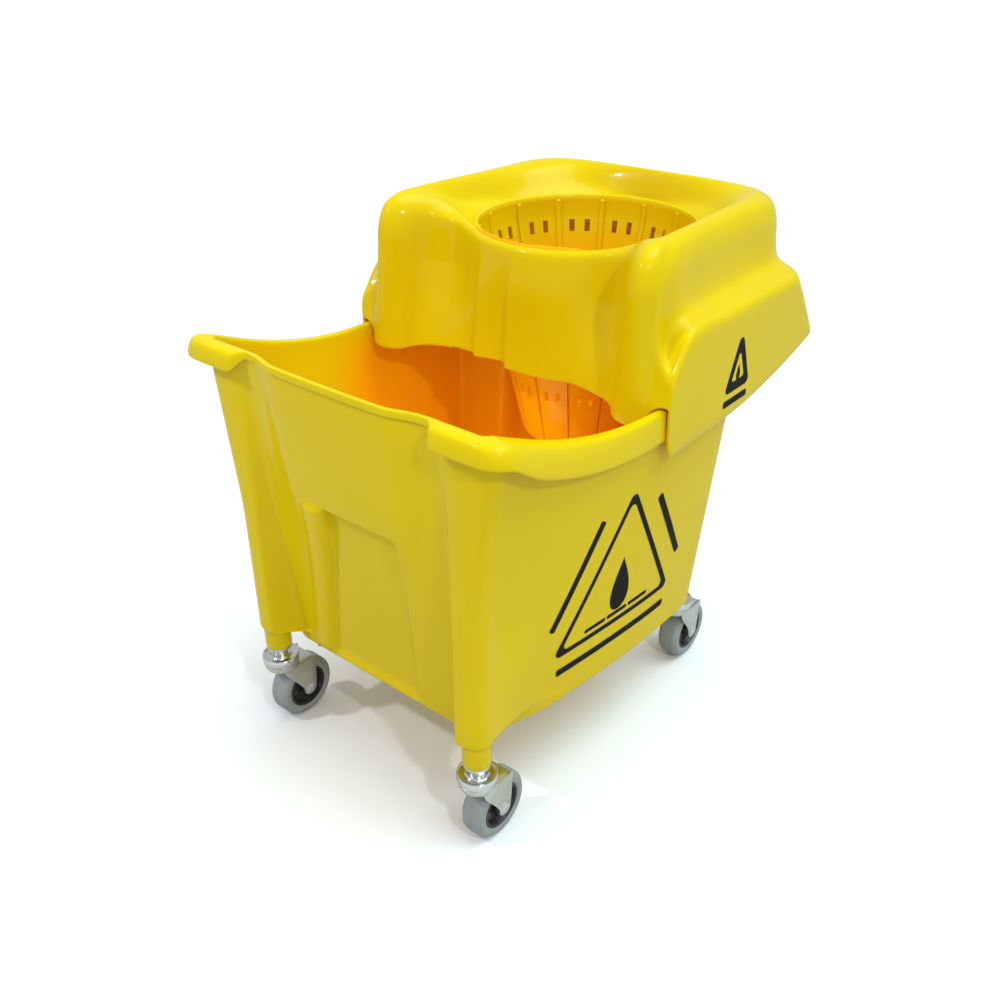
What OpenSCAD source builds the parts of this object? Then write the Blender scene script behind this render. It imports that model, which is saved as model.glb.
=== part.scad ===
// Mop bucket on four swivel casters, with a cone wringer that drops over its rim.
// Millimetres, +Z up, the pouring edge faces -Y. The origin is on the floor, under the middle of the object.

/* [Wheels] */
// Wheel diameter
wheel_d = 76.2; // [70:0.1:80]
// Wheel width across the tread
wheel_w = 27.5; // [24:0.5:28]
// Distance between left and right caster stems
track = 304; // [296:1:308]
// Distance between front and rear caster stems
stem_base = 392.5; // [388:0.5:396]
// Distance that the wheel trails behind its stem
trail = 24.4; // [20:0.1:26]

/* [Bucket] */
// Height of the bucket's underside above the floor
floor_z = 118; // [116:1:122]
// Wall thickness
wall = 4; // [3:0.5:4.5]
// Half width of the tub at its floor, at the widest place
base_half_w = 184; // [180:1:186]
// Half width of the tub at its rim, at the widest place
top_half_w = 203; // [200:1:203]
// Height of the rim along the rear half
rim_z = 434; // [430:1:436]
// Height of the pouring edge and the front horns
front_rim_z = 489; // [484:1:492]
// Half width across the outside of the rim
rim_half_w = 207.8; // [207:0.1:208]
// Height of the rim's skirt
skirt_h = 32; // [26:1:32]
// How far the pouring edge bulges forward in the middle
spout_bulge = 11; // [6:1:14]
// How far the tub reaches back under the cone
rear_bulge = 118; // [114:1:120]

/* [Wringer] */
// Radius of the round mouth
mouth_r = 128; // [126:0.5:129]
// Height of the mouth's edge
mouth_z = 556; // [554:1:558]
// Height of the crest round the mouth
crest_z = 588; // [584:1:590]
// Half width across the cheeks
cheek_half_w = 212.5; // [212.5:0.1:214]
// Height of the bottom edge of the cheeks
cheek_z = 382; // [378:1:390]
// Shell thickness of the hood
hood_t = 3.5; // [3:0.1:3.5]
// Radius of the cone's floor
cone_foot_r = 72; // [66:1:74]
// Height of the cone's floor
cone_foot_z = 300; // [296:1:320]
// Number of ribs round the inside of the cone
cone_ribs = 14; // [8:2:20]

/* [Hidden] */
$fn = 48;
yellow = [0.90, 0.78, 0.05];
deep_yellow = [0.87, 0.68, 0.04];
zinc = [0.80, 0.82, 0.80];
chrome = [0.75, 0.76, 0.78];
black = [0.06, 0.06, 0.06];
grey = [0.58, 0.62, 0.61];
// the origin is this far behind the axle line of the front wheels
origin_back = 244;
wheel_r = wheel_d / 2;
front_stem_y = -trail;
rear_stem_y = front_stem_y + stem_base;
cone_y = 355;
// the sides bow out from the front to this depth
widest_y = 265;
leg_r = 15;
leg_z = 112.7;
post_r = 18;
post_z = 165;
socket_r = 9.5;
socket_top_z = 150;
stem_r = 5.5;
race_r = 15;
ball_r = 2.5;
ball_z = 92;
axle_r = 4;
bush_r = 6.5;
hub_r = 26;
fit = 0.05;

function mix(a, b, t) = a + (b - a) * t;
function clamp01(t) = min(max(t, 0), 1);
function ease(t) = let (c = clamp01(t)) c * c * (3 - 2 * c);
function unit(v) = v / norm(v);

// A closed outline, anticlockwise from above, from its right half listed front to back.
function whole(half) = let (n = len(half)) concat(half, [for (i = [n - 2:-1:1]) [-half[i][0], half[i][1]]]);
// The outward direction at point i of a closed outline.
function outward(outline, i) =
  let (n = len(outline), d = unit(outline[(i + 1) % n] - outline[(i + n - 1) % n])) [d[1], -d[0]];
function grown(outline, by) = [for (i = [0:len(outline) - 1]) outline[i] + outward(outline, i) * by];

// A solid through rings of equally many points. A closed loop of rings has no end caps. From ring turn on, the rings
// come back along the other side of the wall, and their facets are split the way that the first side's are.
module skin(rings, turn, loop = false) {
  n = len(rings[0]);
  m = len(rings);
  last = loop ? m - 1 : m - 2;
  sides = [for (j = [0:last], i = [0:n - 1], half = [0, 1])
    let (a = j * n + i, b = j * n + (i + 1) % n, c = ((j + 1) % m) * n + i, d = ((j + 1) % m) * n + (i + 1) % n)
    j < turn ? (half == 0 ? [a, c, b] : [b, c, d]) : (half == 0 ? [a, c, d] : [a, d, b])];
  middle = [for (j = [0, m - 1]) [0, cone_y / 2, rings[j][0][2]]];
  caps = loop ? [] : [for (i = [0:n - 1], end = [0, 1])
    end == 0 ? [m * n, i, (i + 1) % n] : [m * n + 1, (m - 1) * n + (i + 1) % n, (m - 1) * n + i]];
  polyhedron(concat([for (r = rings) each r], loop ? [] : middle), concat(sides, caps), convexity = 10);
}

// ---- the tub ----

function narrowing(y) = max(widest_y - y, 0) / (widest_y + 40);
function rise(z) = (z - floor_z) / (rim_z + 1 - floor_z);
function wall_x(y, z) =
  mix(base_half_w - 39.5 * pow(narrowing(y), 1.5), top_half_w - 21 * pow(narrowing(y), 1.3), rise(z));
function front_y(z) = mix(-5, -40, (z - floor_z) / 342);
function rear_y(z) = mix(344, 365, rise(z));
// the front panel: a recess low down, a bulging spout at the top
function panel_y(x, z) = front_y(z)
  - spout_bulge * sqrt(max(1 - pow(x / 118, 2), 0)) * ease((z - 310) / 110)
  + (abs(x) < 63 ? 4 * ease((z - 132) / 12) * ease((345 - z) / 40) : 0);
function rear_reach(z) = rear_bulge * sin(90 * clamp01((z - 132) / 250));
rear_bulge_half_w = 122;
rim_corner = 25;
back_corner = 12;

// Right half of the tub's outline at height z. With posts, the corners carry the legs upward.
function tub_half(z, posts) =
  let (yf = front_y(z), yr = rear_y(z), w = wall_x(-20, z), wp = max(w, track / 2 + post_r - 1),
       wr = wall_x(yr, z), px = track / 2, start = posts ? -2 : yf + rim_corner, end = yr - back_corner,
       post_back = yr + max(3, (rear_stem_y + post_r - yr) * ease((392 - z) / 60)))
  concat(
    [for (x = [0, 30, 58, 66, 88, 105]) [x, panel_y(x, z)]],
    posts
      ? [[px - 26, panel_y(px - 26, z)], [px - 19, mix(yf, -43, 0.5)], [px - 14, min(yf, -41) - 0.6], [px - 7, -43]]
      : [for (k = [1:4]) [mix(105, w - rim_corner, k / 4.6), yf]],
    posts
      ? [[wp - 14, -42.5], [wp - 4, -37], [wp, -25], [max(w + 0.5, wp - 2.5), -11]]
      : [for (a = [-90:30:0]) [w - rim_corner + rim_corner * cos(a), yf + rim_corner * (1 + sin(a))]],
    [for (k = [1:5]) let (y = mix(start, end, k / 6)) [wall_x(y, z), y]],
    [for (a = [0:45:90]) [wr - back_corner * (1 - cos(a)), end + back_corner * sin(a)]],
    posts
      ? [[px + 18, mix(yr, post_back, 0.5)], [px + 13, post_back - 4], [px, post_back], [px - 13, post_back - 4],
         [px - 18, mix(yr, post_back, 0.5)]]
      : [for (k = [1:5]) [mix(wr - back_corner, rear_bulge_half_w + 8, k / 6), yr]],
    [for (a = [0:22.5:90]) [rear_bulge_half_w * cos(a), yr + rear_reach(z) * sin(a)]]);

function lift(outline, z) = [for (p = outline) [p[0], p[1], z]];
function tub_ring(z, posts = false, grow = 0) = lift(grown(whole(tub_half(z, posts)), grow), z);

// The rim's height at depth y: level behind, sweeping up to the horns.
function rim_top(y) = min(front_rim_z, rim_z + 55 * pow(max(190 - y, 0) / 220, 2));
// How far the rim's flange stands out at point p of the outline.
function flange(p) =
  p[1] < -34 ? mix(1.6, 14.5, ease((abs(p[0]) - 122) / 20))
  : p[1] < 330 ? max(rim_half_w - wall_x(p[1], rim_z), 4)
  : 6;
function skirt(p) = p[1] < -34 ? mix(7, 19, ease((abs(p[0]) - 122) / 20)) : mix(19, skirt_h, ease((p[1] + 45) / 25));

// how far the top of the front wall leans ahead of the rim's own outline
horn_lead = 1.1;
// A ring along the rim: out is in flange widths, down in skirt heights, with inset and drop in millimetres.
function rim_ring(out, down, inset = 0, drop = 0) =
  let (o = whole(tub_half(rim_z, false)), n = len(o))
  [for (i = [0:n - 1])
    let (p = o[i], q = p + outward(o, i) * (out * flange(p) - inset))
    [q[0], q[1] - horn_lead * ease(-(p[1] + 5) / 30), rim_top(p[1]) - down * skirt(p) - drop]];

module tub() {
  outer = [
    tub_ring(floor_z, grow = -6), tub_ring(floor_z + 5), tub_ring(post_z), tub_ring(post_z + 1.5, true),
    tub_ring(235, true), tub_ring(305, true), tub_ring(345, true), tub_ring(390, true)];
  rim = [
    rim_ring(0.1, 0.3, drop = 6), rim_ring(0.75, 0.95), rim_ring(1, 1), rim_ring(0.8, 0.3), rim_ring(0.4, 0),
    rim_ring(0, 0, inset = wall - 1), rim_ring(0, 0.1, inset = wall, drop = 2)];
  inner = [for (z = [390, 345, 305, 235, post_z + 1.5, floor_z + 12]) tub_ring(z, grow = -wall)];
  skin(concat(outer, rim, inner, [tub_ring(floor_z + wall, grow = -wall - 4)]), len(outer) + len(rim) - 3);
}

module at_stems() {
  for (sx = [-1, 1], y = [front_stem_y, rear_stem_y]) translate([sx * track / 2, y, 0]) children();
}

// From the axle line of the front wheels to the frame of the whole object.
module placed() translate([0, -origin_back, 0]) children();

module bucket_shell() color(yellow) placed() difference() {
  union() {
    tub();
    at_stems() translate([0, 0, leg_z]) cylinder(r = leg_r, h = post_z + 15 - leg_z);
    // webs between the legs and the tub
    for (sx = [-1, 1]) {
      translate([sx * track / 2 - 5, front_stem_y, floor_z + 1]) cube([10, 20, 30]);
      translate([sx * track / 2 - 5, rear_stem_y - 20.5, floor_z + 1]) cube([10, 20.5, 30]);
    }
  }
  at_stems() translate([0, 0, leg_z - 1]) cylinder(r = socket_r, h = socket_top_z - leg_z + 2);
}

// ---- the wringer ----

front_face_r = 140;
cheek_y = 203;
// One station of the hood: crest point, crest height, lower outline point, the heights down its outside, and the
// direction of its point on the mouth.
function apron_station(p, top, foot, a) =
  [p, top, p, [for (t = [0.2, 0.4, 0.55, 0.7, 0.85, 1]) mix(top - 12, foot, t)], a];
function ledge_z(y) = 506 - 56 * pow(1 - clamp01((y - 198) / 36), 2.5);
function cheek_foot(y) = mix(cheek_z, 425, pow(clamp01((y - 310) / 235), 1.7));
function cheek_station(p, low, a) = let (h = ledge_z(low[1]))
  [p, crest_z, low, [h + 42, h + 18, h + 2, h - 6, mix(h, cheek_foot(low[1]), 0.5), cheek_foot(low[1])], a];
hood_half = concat(
  [for (a = [-90:10:-50])
    apron_station([front_face_r * cos(a), cone_y + front_face_r * sin(a)], mouth_z + 2 * ease((a + 67) / 17), 423, a)],
  [apron_station([107, 251], 559, 420, -44), apron_station([127, 240], 567, 417, -35),
   apron_station([137, 218], 580, 415, -28), apron_station([143, 201], crest_z, 413, -23),
   apron_station([155, 189], crest_z, 413, -19), apron_station([171, 186], crest_z, 413, -15),
   apron_station([183, 190], crest_z, 413, -11),
   [[188, 196], crest_z, [188, 196], [500, 478, 458, 450, 446, rim_z + 7], -8],
   [[189, 201], crest_z, [cheek_half_w, 200], [500, 478, 460, 453, 447, rim_z + 7], -5]],
  [for (s = [[189, 206, -2], [184, 235, 4], [177, 290, 11], [174, 345, 19], [174, 395, 28]])
    cheek_station([s[0], s[1]], [cheek_half_w, max(s[1] + 20 * clamp01((s[1] - 240) / 150), 205)], s[2])],
  [cheek_station([175, 440], [cheek_half_w, 470], 38)],
  [for (k = [0:3]) cheek_station([123 + 52 * cos(30 * k), 461 + 52 * sin(30 * k)],
    [cheek_half_w - 22 + 22 * cos(30 * k), 523 + 22 * sin(30 * k)], 46 + 8 * k)],
  [for (x = [70, 0]) cheek_station([x, 513], [x * 1.5, 545], x > 0 ? 79 : 90)]);

function hood_whole() = let (n = len(hood_half))
  concat(hood_half, [for (i = [n - 2:-1:1])
    let (s = hood_half[i]) [[-s[0][0], s[0][1]], s[1], [-s[2][0], s[2][1]], s[3], 180 - s[4]]]);
// above their foot the cheeks lean forward, most of all at the sides
function lean(p, z) = [p[0], p[1] - mix(27, 60, clamp01((abs(p[0]) - 110) / 100))
  * clamp01((z - 425) / 75) * clamp01((p[1] - 430) / 70)];

// Rings of the hood from the mouth outward and down (k = 0 to 11), moved in by shell thicknesses.
function hood_ring(k, side, down) =
  let (s = hood_whole(), n = len(s), crest = [for (q = s) q[0]], low = [for (q = s) q[2]],
       reach = [0, 0, 0, 0, 0, 0, 0.06, 0.3, 0.85, 1, 1, 1])
  [for (i = [0:n - 1])
    let (c = s[i][0], mouth = [0, cone_y] + (mouth_r + 2) * [cos(s[i][4]), sin(s[i][4])], dist = norm(c - mouth),
         shoulder = c - outward(crest, i) * min(5, dist * 0.5), edge = c - outward(crest, i) * min(3, dist * 0.2),
         z_low = s[i][3][max(k - 6, 0)], b = lean(s[i][2], z_low),
         plan = k == 0 ? mouth : k == 1 ? mix(mouth, shoulder, 0.4) : k == 2 ? mix(mouth, shoulder, 0.75)
           : k == 3 ? shoulder : k == 4 ? edge : k == 5 ? c : mix(c, b, reach[k]),
         up = s[i][1] - mouth_z,
         z = k == 0 ? mouth_z : k == 1 ? mouth_z + 0.12 * up : k == 2 ? mouth_z + 0.66 * up
           : k == 3 ? s[i][1] : k == 4 ? s[i][1] - 3.5 : k == 5 ? s[i][1] - 12 : z_low,
         n_out = k < 8 ? outward(crest, i) : outward(low, i))
    [plan[0] - n_out[0] * side * hood_t, plan[1] - n_out[1] * side * hood_t, z - down * hood_t]];

module hood_skin() {
  side = [0, 0, 0, 0.1, 0.6, 1, 1, 0.7, 0.6, 1, 1, 1];
  down = [1, 1, 1, 1, 1, 0.7, 0.4, 0.9, 1, 0.5, 0, 0];
  inner = [for (k = [0:11]) hood_ring(k, side[k], down[k])];
  outer = [for (k = [11:-1:0]) hood_ring(k, 0, 0)];
  skin(concat(inner, outer), len(inner), loop = true);
}

collar_t = 3.5;
collar_h = 18;
flange_z = mouth_z + 0.5 - collar_h;
flange_t = 3;
screw_angles = [-18, 42, 138, 198];
screw_ring_r = 140;
screw_r = 2;
module at_screws() {
  for (a = screw_angles) translate([screw_ring_r * cos(a), cone_y + screw_ring_r * sin(a), 0]) children();
}

module wringer_hood() color(yellow) placed() {
  difference() {
    union() {
      hood_skin();
      translate([0, cone_y, flange_z + 0.1]) cylinder(r = mouth_r + collar_t, h = collar_h - 0.1, $fn = 96);
      // bosses that take the screws of the cone
      at_screws() translate([0, 0, flange_z + 0.1]) cylinder(r = 6, h = 17);
      // tabs that rest on the rim
      for (sx = [-1, 1], y = [250, 330]) translate([sx * 202 - 8.5, y, rim_z + 0.6]) cube([17, 4, 9]);
    }
    translate([0, cone_y, flange_z - 5]) cylinder(r = mouth_r, h = collar_h + 20, $fn = 96);
    at_screws() translate([0, 0, flange_z - 1]) cylinder(r = screw_r - 0.2, h = 14);
  }
}

cone_top_r = mouth_r - 0.4;
cone_t = 3;
// outer radius of the funnel at height z
function funnel_r(z) = mix(cone_foot_r, mouth_r - 1.5, (z - cone_foot_z) / (flange_z - flange_t - cone_foot_z));
module wringer_cone() color(deep_yellow) placed() translate([0, cone_y, 0]) {
  top = mouth_z - 2;
  low = flange_z - flange_t;
  difference() {
    union() {
      rotate_extrude($fn = 96) polygon([
        [0, cone_foot_z], [cone_foot_r, cone_foot_z], [funnel_r(low), low], [mouth_r + 6, low],
        [mouth_r + 6, flange_z], [cone_top_r, flange_z], [cone_top_r, top], [cone_top_r - cone_t, top],
        [cone_top_r - cone_t, low], [funnel_r(cone_foot_z + cone_t) - cone_t, cone_foot_z + cone_t],
        [0, cone_foot_z + cone_t]]);
      for (i = [0:cone_ribs - 1]) rotate([90, 0, (i + 0.5) * 360 / cone_ribs]) translate([0, 0, -1.2])
        linear_extrude(2.4) polygon([
          [cone_foot_r - cone_t - 4, cone_foot_z + 1], [cone_foot_r - 1, cone_foot_z + 1],
          [funnel_r(low) - 1, low], [cone_top_r - 1, top - 4], [cone_top_r - cone_t - 4, top - 8],
          [cone_top_r - cone_t - 4, low]]);
      // lugs for the screws
      for (a = screw_angles) rotate([0, 0, a]) lug(low);
    }
    // drain slots between the ribs
    for (i = [0:cone_ribs - 1], z = [340, 400, 460]) rotate([0, 0, i * 360 / cone_ribs])
      translate([funnel_r(z) - 12, -4, z]) cube([24, 8, 34]);
    // drain holes in the floor
    for (a = [0:60:300]) rotate([0, 0, a]) translate([40, 0, cone_foot_z - 1]) cylinder(r = 8, h = cone_t + 2);
    for (a = screw_angles) rotate([0, 0, a]) translate([screw_ring_r, 0, low - 1]) cylinder(r = 2.3, h = 6);
  }
}
module lug(low) {
  translate([screw_ring_r, 0, low]) cylinder(r = 7, h = flange_t);
  translate([mouth_r, -7, low]) cube([screw_ring_r - mouth_r, 14, flange_t]);
}

module cone_screws() color(zinc) placed() at_screws() {
  translate([0, 0, flange_z - flange_t - 2.6]) cylinder(r1 = 3, r2 = 4.2, h = 2.5);
  translate([0, 0, flange_z - flange_t - 0.2]) cylinder(r = screw_r - 0.25, h = 14);
}

// ---- one caster, its stem on the Z axis and its wheel trailing towards +Y ----

module socket() color(zinc) difference() {
  union() {
    translate([0, 0, leg_z]) cylinder(r = socket_r - fit, h = socket_top_z - leg_z);
    translate([0, 0, leg_z - 3]) cylinder(r = leg_r - 0.5, h = 3);
  }
  translate([0, 0, leg_z - 4]) cylinder(r = stem_r + fit, h = socket_top_z - leg_z + 2);
}

stem_collar_z = 99;
plate_z = 80;
plate_t = 2.5;
module stem() color(zinc) rotate_extrude() polygon([
  [0, plate_z - 3], [6.5, plate_z - 2.6], [7.5, plate_z - 0.3], [stem_r, plate_z - 0.3], [stem_r, stem_collar_z + 0.1],
  [9, stem_collar_z + 0.1], [9, leg_z - 3.1], [stem_r, leg_z - 3.1], [stem_r, socket_top_z - 5],
  [stem_r - 1.5, socket_top_z - 3], [0, socket_top_z - 3]]);

module bearing_cup() color(chrome) rotate_extrude($fn = 72) polygon([
  [stem_r + fit, ball_z + ball_r + 0.1], [18, ball_z + ball_r + 0.1], [19.6, ball_z + 0.5], [19.6, ball_z - 2.2],
  [21, ball_z - 2.2], [21.6, ball_z + 3], [21.2, ball_z + 6], [19.8, ball_z + 7], [18.4, ball_z + 6],
  [13, ball_z + 4.8], [11, stem_collar_z], [stem_r + fit, stem_collar_z]]);

module balls() color(chrome) for (a = [0:30:330]) rotate([0, 0, a]) translate([race_r, 0, ball_z]) sphere(r = ball_r);

cheek_in = 15.4;
cheek_t = 2.3;
module fork() color(zinc) difference() {
  union() {
    // dish that carries the balls
    rotate_extrude($fn = 72) polygon([
      [0, plate_z], [17.6, plate_z], [19.6, plate_z + 4], [20.4, ball_z - ball_r - 0.3],
      [19, ball_z - ball_r - 0.1], [11, ball_z - ball_r - 0.1], [9, plate_z + 4], [0, plate_z + 4]]);
    translate([-cheek_in - cheek_t, -8, plate_z]) cube([2 * (cheek_in + cheek_t), 38, plate_t]);
    for (x = [-cheek_in - cheek_t, cheek_in]) translate([x, 0, 0]) rotate([90, 0, 90]) linear_extrude(cheek_t) union() {
      polygon([[-8, plate_z + plate_t], [-8, plate_z - 4], [-2, plate_z - 12], [trail - 7.7, wheel_r - 3],
        [trail + 7.9, wheel_r - 1], [trail + 9.5, plate_z - 6], [trail + 5.6, plate_z + plate_t]]);
      translate([trail, wheel_r]) circle(r = 8);
    }
  }
  translate([0, 0, plate_z - 1]) cylinder(r = stem_r + fit, h = 20);
  translate([-30, trail, wheel_r]) rotate([0, 90, 0]) cylinder(r = axle_r + fit, h = 60);
}

module on_axle() translate([0, trail, wheel_r]) rotate([0, 90, 0]) children();
module axle() {
  out = cheek_in + cheek_t + 0.05;
  color(chrome) on_axle() rotate_extrude() polygon([
    [0, -out - 2.2], [3.5, -out - 1.9], [6, -out - 0.6], [6, -out], [axle_r, -out], [axle_r, out], [6, out],
    [6, out + 0.6], [3.5, out + 1.9], [0, out + 2.2]]);
}
module bush() color(chrome) on_axle() difference() {
  cylinder(r = bush_r, h = 2 * cheek_in - 0.2, center = true);
  cylinder(r = axle_r + fit, h = 40, center = true);
}
module hub() {
  w = wheel_w / 2;
  color(black) on_axle() rotate_extrude($fn = 72) polygon([
    [bush_r + fit, -14.8], [9.5, -14.8], [10.5, -5], [20, -3.5], [22.5, -w + 2], [hub_r, -w + 1.2],
    [hub_r, w - 1.2], [22.5, w - 2], [20, 3.5], [10.5, 5], [9.5, 14.8], [bush_r + fit, 14.8]]);
}
module tread() {
  w = wheel_w / 2;
  color(grey) on_axle() rotate_extrude($fn = 96) polygon(concat(
    [[hub_r, -w + 1], [hub_r + 1.5, -w]],
    [for (a = [-60:20:60]) [wheel_r - 5 + 5 * cos(a), (w - 4.4) * (a / 60) + 4.2 * sin(a)]],
    [[hub_r + 1.5, w], [hub_r, w - 1]]));
}

module front_left() placed() translate([-track / 2, front_stem_y, 0]) children();
module front_right() placed() translate([track / 2, front_stem_y, 0]) children();
module rear_left() placed() translate([-track / 2, rear_stem_y, 0]) children();
module rear_right() placed() translate([track / 2, rear_stem_y, 0]) children();

bucket_shell();
wringer_hood();
wringer_cone();
cone_screws();
front_left() socket();  // front_left_socket
front_left() stem();  // front_left_stem
front_left() bearing_cup();  // front_left_bearing_cup
front_left() balls();  // front_left_balls
front_left() fork();  // front_left_fork
front_left() axle();  // front_left_axle
front_left() bush();  // front_left_bush
front_left() hub();  // front_left_hub
front_left() tread();  // front_left_tread
front_right() socket();  // front_right_socket
front_right() stem();  // front_right_stem
front_right() bearing_cup();  // front_right_bearing_cup
front_right() balls();  // front_right_balls
front_right() fork();  // front_right_fork
front_right() axle();  // front_right_axle
front_right() bush();  // front_right_bush
front_right() hub();  // front_right_hub
front_right() tread();  // front_right_tread
rear_left() socket();  // rear_left_socket
rear_left() stem();  // rear_left_stem
rear_left() bearing_cup();  // rear_left_bearing_cup
rear_left() balls();  // rear_left_balls
rear_left() fork();  // rear_left_fork
rear_left() axle();  // rear_left_axle
rear_left() bush();  // rear_left_bush
rear_left() hub();  // rear_left_hub
rear_left() tread();  // rear_left_tread
rear_right() socket();  // rear_right_socket
rear_right() stem();  // rear_right_stem
rear_right() bearing_cup();  // rear_right_bearing_cup
rear_right() balls();  // rear_right_balls
rear_right() fork();  // rear_right_fork
rear_right() axle();  // rear_right_axle
rear_right() bush();  // rear_right_bush
rear_right() hub();  // rear_right_hub
rear_right() tread();  // rear_right_tread
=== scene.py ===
# %% [markdown]
# # A mop bucket with a cone wringer
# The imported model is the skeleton: every piece made here sits where that model says, rides on one of its bodies and
# stands for one or more of its nodes. We load it first, because the model never moves again.

# %% Load the frame
import math
import bpy
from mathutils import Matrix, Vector


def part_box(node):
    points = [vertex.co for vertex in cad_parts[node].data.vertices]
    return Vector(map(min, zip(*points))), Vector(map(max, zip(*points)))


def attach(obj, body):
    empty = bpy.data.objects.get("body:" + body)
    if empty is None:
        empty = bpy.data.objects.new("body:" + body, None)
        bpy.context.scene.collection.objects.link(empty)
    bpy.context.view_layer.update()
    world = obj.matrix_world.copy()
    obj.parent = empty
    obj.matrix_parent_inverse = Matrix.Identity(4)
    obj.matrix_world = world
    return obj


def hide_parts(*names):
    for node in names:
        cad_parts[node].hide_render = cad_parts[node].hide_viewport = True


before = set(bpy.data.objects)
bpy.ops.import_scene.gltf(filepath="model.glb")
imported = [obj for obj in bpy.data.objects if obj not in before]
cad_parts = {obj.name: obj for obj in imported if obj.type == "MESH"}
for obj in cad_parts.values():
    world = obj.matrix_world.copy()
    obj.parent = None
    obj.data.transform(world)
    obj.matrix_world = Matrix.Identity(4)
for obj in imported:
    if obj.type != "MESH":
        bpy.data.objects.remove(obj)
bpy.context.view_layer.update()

# %% [markdown]
# ## Camera and light
# The camera stands high in front of the bucket's right-hand corner and looks down at it. A pale floor, a white sky
# and a broad ceiling light give soft reflections. Two small lamps give the glossy plastic the short bright streaks
# along its rounded edges, and a weak one inside the tub stands for the light that its walls throw about.

# %% Camera
CORNERS = ("front_left", "front_right", "rear_left", "rear_right")
scene = bpy.context.scene


def aimed(thing, place, azimuth, pitch):
    """Puts a camera or lamp at a place, turned to an azimuth and pitched down, in degrees."""
    thing.location = place
    thing.rotation_euler = (math.radians(90 - pitch), 0, math.radians(azimuth))


EYE_PLACE, EYE_AZIMUTH, EYE_PITCH, EYE_LENS = (0.6382, -0.8299, 0.8410), 39.10, 29.81, 35.94
eye = bpy.data.objects.new("eye", bpy.data.cameras.new("eye"))
scene.collection.objects.link(eye)
eye.data.sensor_width = 36
eye.data.lens = EYE_LENS
aimed(eye, EYE_PLACE, EYE_AZIMUTH, EYE_PITCH)
scene.camera = eye
scene.view_settings.view_transform = "Standard"

# %% Sky
SKY_LIGHT = 0.52
sky = bpy.data.worlds.new("sky")
scene.world = sky
sky.use_nodes = True
backdrop = sky.node_tree.nodes["Background"]
backdrop.inputs["Color"].default_value = (1, 1, 1, 1)
# the sky is white to the eye, and lights the object with about half of that
sky_ray = sky.node_tree.nodes.new("ShaderNodeLightPath")
sky_strength = sky.node_tree.nodes.new("ShaderNodeMapRange")
sky_strength.inputs["To Min"].default_value, sky_strength.inputs["To Max"].default_value = SKY_LIGHT, 1.0
sky.node_tree.links.new(sky_ray.outputs["Is Camera Ray"], sky_strength.inputs["Value"])
sky.node_tree.links.new(sky_strength.outputs["Result"], backdrop.inputs["Strength"])

# %% Lamps
LAMP_TARGET = (0, 0, 0.3)


def lamp(name, place, size, watts):
    """A square soft lamp that faces the object."""
    light = bpy.data.lights.new(name, "AREA")
    light.size, light.energy = size, watts
    holder = bpy.data.objects.new(name, light)
    scene.collection.objects.link(holder)
    holder.location = place
    holder.rotation_euler = (Vector(LAMP_TARGET) - Vector(place)).to_track_quat("-Z", "Y").to_euler()


lamp("key", (-0.9, -1.5, 2.0), 0.10, 14)
lamp("window", (1.5, -0.9, 1.7), 0.09, 9)
sun = bpy.data.objects.new("ceiling", bpy.data.lights.new("ceiling", "SUN"))
scene.collection.objects.link(sun)
sun.data.energy, sun.data.angle = 2.3, math.radians(50)
sun.data.color = (0.78, 1, 1)
sun.rotation_euler = (math.radians(-12), math.radians(14), 0)
# light that the tub's own walls would throw about inside it
glow = bpy.data.objects.new("inside_glow", bpy.data.lights.new("inside_glow", "POINT"))
scene.collection.objects.link(glow)
glow.data.energy, glow.data.shadow_soft_size = 0.36, 0.09
glow.location = (0, -0.12, 0.27)
print("camera, sky and 4 lamps")

# %% Floor
BOUNCE, WHITE = (0.56, 0.56, 0.57, 1), (0.96, 0.965, 1, 1)
bpy.ops.object.select_all(action="DESELECT")
bpy.ops.mesh.primitive_plane_add(size=80)
floor = bpy.context.object
floor.name = "floor"
paper = bpy.data.materials.new("floor_paper")
paper.use_nodes = True
sheen = paper.node_tree.nodes["Principled BSDF"]
sheen.inputs["Roughness"].default_value = 0.9
sheen.inputs["Specular IOR Level"].default_value = 0.0
# the floor stays white to the eye but throws less light back, as a studio's floor does
ray = paper.node_tree.nodes.new("ShaderNodeLightPath")
seen_as = paper.node_tree.nodes.new("ShaderNodeMix")
seen_as.data_type = "RGBA"
seen_as.inputs[6].default_value, seen_as.inputs[7].default_value = BOUNCE, WHITE
paper.node_tree.links.new(ray.outputs["Is Camera Ray"], seen_as.inputs["Factor"])
paper.node_tree.links.new(seen_as.outputs[2], sheen.inputs["Base Color"])
floor.data.materials.append(paper)
print("floor of", floor.dimensions.x, "m")

# %% [markdown]
# ## Surface effects
# Effects that more than one finish needs are node groups, built once. Each puts out only what changes over a
# surface: a colour, a mask or a height. The shader's own numbers stay in the materials.

# %% Helpers for node groups


def group(name, ins, outs):
    """An empty shader node group. ins and outs are (name, kind, default)."""
    tree = bpy.data.node_groups.new(name, "ShaderNodeTree")
    for label, kind, default in ins:
        socket = tree.interface.new_socket(label, in_out="INPUT", socket_type="NodeSocket" + kind)
        if default is not None:
            socket.default_value = default
    for label, kind in outs:
        tree.interface.new_socket(label, in_out="OUTPUT", socket_type="NodeSocket" + kind)
    return tree, tree.nodes.new("NodeGroupInput"), tree.nodes.new("NodeGroupOutput")


def node(tree, kind, label=None, **values):
    """A node, with its settings and the values of its unlinked sockets (a_b for socket "A B")."""
    made = tree.nodes.new("ShaderNode" + kind)
    for key, value in values.items():
        if hasattr(made, key):
            setattr(made, key, value)
        else:
            made.inputs[key.replace("_", " ").title()].default_value = value
    if label:
        made.label = label
    return made


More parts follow.
